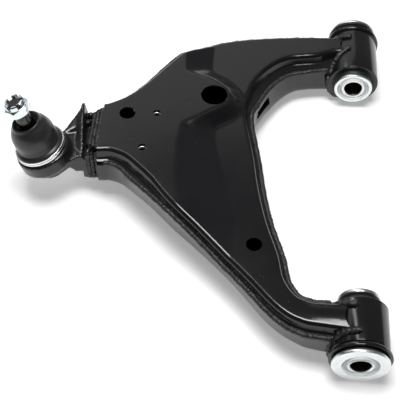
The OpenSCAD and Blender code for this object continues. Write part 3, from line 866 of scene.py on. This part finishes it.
front_runs = [round_tube(blend_y(-14.0, -12.0, -19.5), 92, 196, 0),
              round_tube(blend_y(13.6, 13.6, 20.5), 97, 160, 0),
              round_tube(blend_y(-19, -20, -19), 190, 238, 0), round_tube(blend_y(20, 21, 20), 165, 238, 0)]
rear_runs = [round_tube(blend_y(-4, -12, -30), 100, 165, rear_y),
             round_tube(blend_y(12.5, 14, 19), 97, 170, rear_y),
             round_tube(blend_y(-30, -31, -30), 165, 238, rear_y),
             round_tube(blend_y(18, 20, 19), 170, 238, rear_y)]
lay_bead("front_tube_beads", front_runs, 3.4, "arm", ["front_tube_weld"], ripple=4.6, rough=0.9)
lay_bead("rear_tube_beads", rear_runs, 3.2, "arm", ["rear_tube_weld"], ripple=4.6, rough=0.9)

# %% [markdown]
# ## The ball joint bracket
# The bracket is a forging: a thick ring for the joint, a neck, an upright cross plate with a web
# that sweeps up to its high end, and a bar that runs into the mouth of the box. Simple hulls are
# laid over each other, a voxel remesh fuses them into one skin, and smoothing gives it the soft
# inside corners of a forging. The bore is cut afterwards, so that it stays crisp.

# %% Hulls that overlap
def hull(bm, points):
    corners = [bm.verts.new(p) for p in points]
    bmesh.ops.convex_hull(bm, input=corners, use_existing_faces=False)


def block(bm, x0, x1, y0, y1, z0, z1):
    hull(bm, [(x, y, z) for x in (x0, x1) for y in (y0, y1) for z in (z0, z1)])


bm = bmesh.new()
for r, u0, u1 in ((28.0, -8.5, 4.3), (27.2, -10.0, 5.4), (25.8, -11.2, 6.1)):
    made = bmesh.ops.create_cone(bm, cap_ends=True, segments=72, radius1=r, radius2=r, depth=u1 - u0)
    bmesh.ops.translate(bm, vec=(0, 0, (u0 + u1) / 2), verts=made["verts"])
    bmesh.ops.transform(bm, matrix=to_joint, verts=made["verts"])
hull(bm, [(-316, 148, 12), (-316, 148, 22), (-300, 152, 6), (-300, 152, 24), (-280, 168.5, 2),
          (-280, 168.5, 25),
          (-281, 226, 4), (-281, 226, 25), (-300, 200, 8), (-300, 200, 27), (-316, 190, 14)])
hull(bm, [(-282, 168.5, 1), (-276, 168.5, 1), (-284, 168.5, 23), (-276, 168.5, 24), (-284, 233, 12),
          (-277, 233, 12),
          (-285, 231, 37), (-281.5, 231, 37.5), (-285, 224, 37), (-281.5, 224, 37.5), (-284, 205, 29),
          (-279, 205, 29)])
hull(bm, [(-302, 194, 14), (-302, 194, 27), (-296, 204, 14), (-296, 203, 28), (-282, 232, 22),
          (-282, 232, 36.5),
          (-282, 208, 31), (-282, 194, 20)])
block(bm, -278, -257, 169.5, 184, -10, 20)
block(bm, -280, -256, 174, 227, -2, 22)
block(bm, -270, -256, 174, 227, 12, 32)
for x, y, z in ((-277, 184, 23), (-276.5, 214, 25), (-275, 224, 26)):
    bmesh.ops.create_icosphere(bm, subdivisions=3, radius=3.6, matrix=Matrix.Translation((x, y, z)))
bracket = finish_piece(bm, "bracket_forging", paint_cast, "arm", ["ball_joint_bracket"])

# %% Fuse, smooth, and cut the bore
fuse = bracket.modifiers.new("fuse", "REMESH")
fuse.mode = "VOXEL"
fuse.voxel_size = 1.15 * MM
soften = bracket.modifiers.new("soften", "SMOOTH")
soften.factor = 0.6
soften.iterations = 7
bm = bmesh.new()
bmesh.ops.create_cone(bm, cap_ends=True, segments=96, radius1=23.1, radius2=23.1, depth=90)
made = bmesh.ops.create_cone(bm, cap_ends=True, segments=96, radius1=27.2, radius2=27.2, depth=30)
bmesh.ops.translate(bm, vec=(0, 0, -30.2), verts=made["verts"])
cutter = finish_piece(bm, "bore_cutter", paint_cast, "arm", place=to_joint)
bore = bracket.modifiers.new("bore", "BOOLEAN")
bore.object = cutter
bore.solver = "EXACT"
bore.use_self = True
bake_modifiers(bracket)
bpy.data.objects.remove(cutter)
pieces.pop("bore_cutter")
print("bracket faces", len(bracket.data.polygons))

# %% The welds round the mouth of the box, and spatter beside them
mouth = []
for x, y0, y1, top in ((-262.5, 172, 230, 33.6), (-266.0, 174, 228, 33.0), (-269.5, 177, 225, 32.0)):
    mouth.append([(x, y, top) for y in range(y0, y1, 2)])
for x, y, low_z in ((-262.5, 169.5, -8), (-266.5, 169.0, -9), (-270.5, 168.8, -9), (-264, 230, -4)):
    mouth.append([(x, y, z) for z in range(31, low_z, -2)])
lay_bead("bracket_beads", mouth, 2.5, "arm", ["bracket_weld"], ripple=3.8, rough=1.3, drops=60)

# %% [markdown]
# ## The ball joint
# The housing is pressed into the ring from below. The boot is a rubber dome. A wire ring of two
# turns clamps its foot, a thin fold runs round it a little higher, and a wide mouth narrows onto
# the stud. The stud leaves the mouth as a taper with a thread above it, and the castle nut sits
# on the thread. When the stud leans, the boot bends: its foot stays and its mouth follows.

# %% Housing, cap and snap ring
turned("joint_housing_shell",
       [[(16.65, -12, 0.3), (16.65, 8.7, 0.3), (13.2, 8.7, 0.2), (13.2, 9.2, 0.2), (16.9, 13, 0.4),
         (22.2, 13, 0.6),
         (22.95, 12.2, 0.3), (22.95, -10.8, 0.4), (21.4, -11.4, 0.4), (21.4, -17.4, 1.0), (17.7, -17.4, 0.4),
         (17.7, -16.6, 0.1), (18.9, -16.6, 0.1), (18.9, -15.2, 0.1), (17.7, -15.2, 0.1), (17.7, -12, 0.2)]],
       to_joint, paint_cast, "arm", ["joint_housing"], steps=120)
turned("closing_cap_plate",
       [[(0, -15, 0), (15.2, -15, 0.5), (17.5, -14.4, 0.5), (17.5, -12.9, 0.3), (0, -12.9, 0)]],
       to_joint, zinc, "arm", ["closing_cap"], steps=96)
turned("snap_ring_wire", [[(15.3, -16.5, 0.3), (18.8, -16.5, 0.3), (18.8, -15.3, 0.3), (15.3, -15.3, 0.3)]],
       to_joint, paint_cast, "arm", ["snap_ring"], steps=96)

# %% Boot
turned("boot_dome",
       [[(23.1, 6.5, 0.4), (24.9, 6.5, 0.6), (24.9, 12.5, 0.8), (23.4, 13.9, 0.8), (21.9, 15.0, 0.3),
         (21.9, 16.2, 0.8),
         (21.2, 20.6, 0.3), (22.0, 21.3, 0.15), (22.1, 27.0, 4.0), (21.3, 32.4, 4.0), (18.7, 38.8, 4.5),
         (15.4, 43.0, 2.4), (14.6, 45.4, 0.7),
         (13.2, 45.5, 0.6), (10.6, 41.4, 1.0), (9.3, 40.7, 0.4), (9.3, 39.5, 0.3), (12.2, 39.5, 0.6),
         (16.0, 36.0, 2.0), (19.0, 31.5, 2.0),
         (19.8, 26.0, 2.0), (19.4, 20.5, 1.5), (20.4, 15.5, 1.0), (21.6, 13.4, 0.4), (23.1, 13.1, 0.3)]],
       to_joint, boot_rubber, None, ["boot"], steps=120)
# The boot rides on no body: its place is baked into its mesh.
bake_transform(pieces["boot_dome"])

# %% The flat wire ring, two turns wide
turned("boot_wire_ring",
       [[(24.95, z, 0.3), (26.1, z, 0.5), (26.1, z + 2.45, 0.5), (24.95, z + 2.45, 0.3)] for z in (7.05, 9.65)],
       to_joint, wire_steel, "arm", ["boot_large_ring"], steps=120)
turned("boot_mouth_ring", [[(9.45, 38.1, 0.3), (11.9, 38.1, 0.3), (11.9, 39.3, 0.3), (9.45, 39.3, 0.3)]],
       to_joint, wire_steel, "stud_lean", ["boot_small_ring"], steps=72)

# %% Stud, with a real helix for its thread
def helix_thread(root, crest, pitch, z0, z1):
    def add(bm):
        turns = (z1 - z0) / pitch
        steps = int(turns * 36)
        line = [bm.verts.new(p) for p in ((root, 0, z0 - pitch * 0.49), (crest, 0, z0 - pitch * 0.08),
                                          (crest, 0, z0 + pitch * 0.08), (root, 0, z0 + pitch * 0.49))]
        edges = [bm.edges.new((a, b)) for a, b in zip(line, line[1:] + line[:1])]
        face = bm.faces.new(line)
        bmesh.ops.spin(bm, geom=[face] + edges + line, cent=(0, 0, 0), axis=(0, 0, 1),
                       dvec=(0, 0, (z1 - z0) / steps),
                       angle=2 * math.pi * turns, steps=steps)
    return add


ball_arc = [(12.5 * math.sin(math.radians(a)), -12.5 * math.cos(math.radians(a)), 0) for a in range(0, 152,
                                                                                                    6)]
turned("ball_stud_turned",
       [ball_arc + [(6.1, 12.0, 1.0), (6.1, 25, 2.0), (8.9, 37, 0.8), (8.9, 41, 0.5), (7.0, 57, 0.4),
                    (6.2, 58, 0.3),
                    (6.15, 72.2, 0.3), (5.3, 73.0, 0.3), (0, 73.0, 0)]],
       to_joint, stud_steel, "stud", ["ball_stud"], steps=72,
       extra=helix_thread(6.1, 6.88, 1.5, 58.8, 71.6))

# %% [markdown]
# ## The castle nut
# A hexagon and a barrel with sloped shoulders are intersected, which leaves the curved chamfers
# of a real nut. The crown is a smaller round collar, and six slots are cut across it.

# %% Cut the nut from simple solids
def helper_solid(name, build):
    bm = bmesh.new()
    build(bm)
    bmesh.ops.recalc_face_normals(bm, faces=bm.faces)
    bmesh.ops.scale(bm, vec=(MM, MM, MM), verts=bm.verts)
    mesh = bpy.data.meshes.new(name)
    bm.to_mesh(mesh)
    bm.free()
    solid = bpy.data.objects.new(name, mesh)
    bpy.context.scene.collection.objects.link(solid)
    return solid


def cut(piece, other, operation):
    tool = piece.modifiers.new(operation, "BOOLEAN")
    tool.operation = operation
    tool.object = other
    tool.solver = "EXACT"
    tool.use_self = True
    bake_modifiers(piece)
    bpy.data.objects.remove(other)


def hexagon(bm):
    made = bmesh.ops.create_cone(bm, cap_ends=True, segments=6, radius1=12.7, radius2=12.7, depth=13)
    bmesh.ops.translate(bm, vec=(0, 0, 65), verts=made["verts"])


def slots(bm):
    for turn in range(3):
        made = bmesh.ops.create_cube(bm, size=1.0)
        bmesh.ops.scale(bm, vec=(40, 3.8, 8), verts=made["verts"])
        bmesh.ops.translate(bm, vec=(0, 0, 73.3), verts=made["verts"])
        bmesh.ops.rotate(bm, verts=made["verts"], matrix=Matrix.Rotation(math.radians(60 * turn + 12), 3,
                                                                         "Z"))


def turned_solid(name, corners, steps=96):
    return helper_solid(name, lambda bm: spin_section(bm, corners, steps))


barrel = [(0, 60.5, 0), (11.0, 60.5, 0.5), (12.9, 61.8, 0), (12.9, 67.4, 0), (10.5, 69.0, 0.2), (0, 69.0, 0)]
crown = [(0, 68, 0), (10.1, 68, 0), (10.1, 73.6, 0.4), (9.2, 74.5, 0.5), (0, 74.5, 0)]
tapped_hole = [(0, 56, 0), (8.0, 56, 0), (8.0, 60.9, 0), (7.0, 62, 0), (7.0, 73.8, 0), (7.7, 74.7, 0),
               (7.7, 80, 0), (0, 80, 0)]
nut = helper_solid("castle_nut_turned", hexagon)
cut(nut, turned_solid("barrel", barrel), "INTERSECT")
cut(nut, turned_solid("crown", crown), "UNION")
cut(nut, helper_solid("slot_blocks", slots), "DIFFERENCE")
cut(nut, turned_solid("tapped_hole", tapped_hole, 72), "DIFFERENCE")
nut.data.transform(Matrix.Scale(MM, 4) @ to_joint @ Matrix.Scale(1 / MM, 4))
nut.data.materials.append(zinc_blue)
for face in nut.data.polygons:
    face.use_smooth = True
chamfer = nut.modifiers.new("soft_edges", "BEVEL")
chamfer.width = 0.35 * MM
chamfer.segments = 2
chamfer.angle_limit = math.radians(28)
even = nut.modifiers.new("even_shading", "WEIGHTED_NORMAL")
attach(nut, "nut")
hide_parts("castle_nut")
pieces["castle_nut_turned"] = nut
print("nut faces", len(nut.data.polygons))

# %% [markdown]
# ## Weld nuts under the pad
# Two nuts sit under the small holes of the pad, where only their bright bores show from above.

# %% Weld nuts
bm = bmesh.new()
for x, y in ((-206, 222), (-216, 175)):
    part = bmesh.new()
    spin_section(part, [(3.4, 26.8, 0.3), (7.2, 26.8, 0.8), (7.2, 33.76, 0.3), (3.4, 33.76, 0.6)], 48)
    bmesh.ops.translate(part, vec=(x, y, 0), verts=part.verts)
    held = bpy.data.meshes.new("held")
    part.to_mesh(held)
    part.free()
    bm.from_mesh(held)
    bpy.data.meshes.remove(held)
finish_piece(bm, "weld_nut_pair", zinc, "arm", ["weld_nuts"])

# %% [markdown]
# ## Solids kept from the design model
# The ball's plastic seat and the spring under it are hidden inside the housing. Their shapes are
# already right, so they only get a finish.

# %% Finish the kept solids
for node_name, coat in (("bearing_seat", seat_plastic), ("seat_spring", wire_steel)):
    kept = frame["nodes"][node_name]
    kept.data.materials.clear()
    kept.data.materials.append(coat)
print("kept:", "bearing_seat, seat_spring")

# %% [markdown]
# ## Floor, light and camera
# The arm lies on a pale floor. A small bright box overhead draws the thin highlights along the
# rolled edges, a wide dim one behind it greys the flat tops, and a strip on the left draws a line
# down each tube. The side the camera stands on is left dark, so that the steep walls stay black.

# %% Floor
bm = bmesh.new()
bmesh.ops.create_grid(bm, x_segments=2, y_segments=2, size=6.0)
mesh = bpy.data.meshes.new("floor")
bm.to_mesh(mesh)
bm.free()
mesh.transform(Matrix.Translation((0, 0, FLOOR_Z)))
floor = bpy.data.objects.new("floor", mesh)
bpy.context.scene.collection.objects.link(floor)
paper, tree, shader = start_material("pale_paper", Roughness=0.9)
fibre = add_node(tree, "ShaderNodeTexNoise", Scale=40.0, Detail=4.0)
tree.links.new(add_node(tree, "ShaderNodeTexCoord").outputs["Object"], fibre.inputs["Vector"])
tree.links.new(ramp(tree, fibre.outputs["Fac"], (0.90, 0.90, 0.90), (0.93, 0.93, 0.93)),
               shader.inputs["Base Color"])
shader.inputs["Emission Color"].default_value = (1.0, 1.0, 1.0, 1.0)
shader.inputs["Emission Strength"].default_value = 0.32
mesh.materials.append(paper)


# %% Lights
def softbox(name, where_from, aim, size, size_y, radiance, colour=(1, 1, 1)):
    light = bpy.data.lights.new(name, "AREA")
    light.shape = "RECTANGLE"
    light.size, light.size_y = size, size_y
    light.energy = radiance * math.pi * size * size_y
    light.color = colour
    holder = bpy.data.objects.new(name, light)
    holder.location = where_from
    holder.rotation_euler = (Vector(where_from) - Vector(aim)).to_track_quat("Z", "Y").to_euler()
    bpy.context.scene.collection.objects.link(holder)


middle = (-0.15, 0.17, 0.0)
softbox("overhead_box", (-0.15, 0.16, 1.5), middle, 0.75, 0.55, 15.5)
softbox("back_box", (-0.97, 1.71, 1.23), (-0.2, 0.2, 0.0), 2.4, 1.15, 0.56)
softbox("left_strip", (-0.65, 0.97, 1.34), (-0.05, 0.1, 0.0), 0.2, 1.0, 5.0)
world = bpy.data.worlds.new("studio")
world.use_nodes = True
sky = world.node_tree
direction = add_node(sky, "ShaderNodeSeparateXYZ")
sky.links.new(add_node(sky, "ShaderNodeTexCoord").outputs["Generated"], direction.inputs["Vector"])
shade = ramp(sky, spread(sky, direction.outputs["Y"], 0.0, 1.0, -0.6, 0.9), (0.04, 0.04, 0.042),
             (0.17, 0.17, 0.175))
sky.links.new(shade, sky.nodes["Background"].inputs["Color"])
bpy.context.scene.world = world
bpy.context.scene.view_settings.view_transform = "Standard"

# %% Camera
camera_data = bpy.data.cameras.new("camera")
camera_data.lens = 90.0
camera_data.sensor_width = 36.0
camera = bpy.data.objects.new("camera", camera_data)
camera.location = (-0.1103, -0.4725, 0.788)
camera.rotation_euler = (math.radians(38.0), 0.0, math.radians(4.2357))
bpy.context.scene.collection.objects.link(camera)
bpy.context.scene.camera = camera
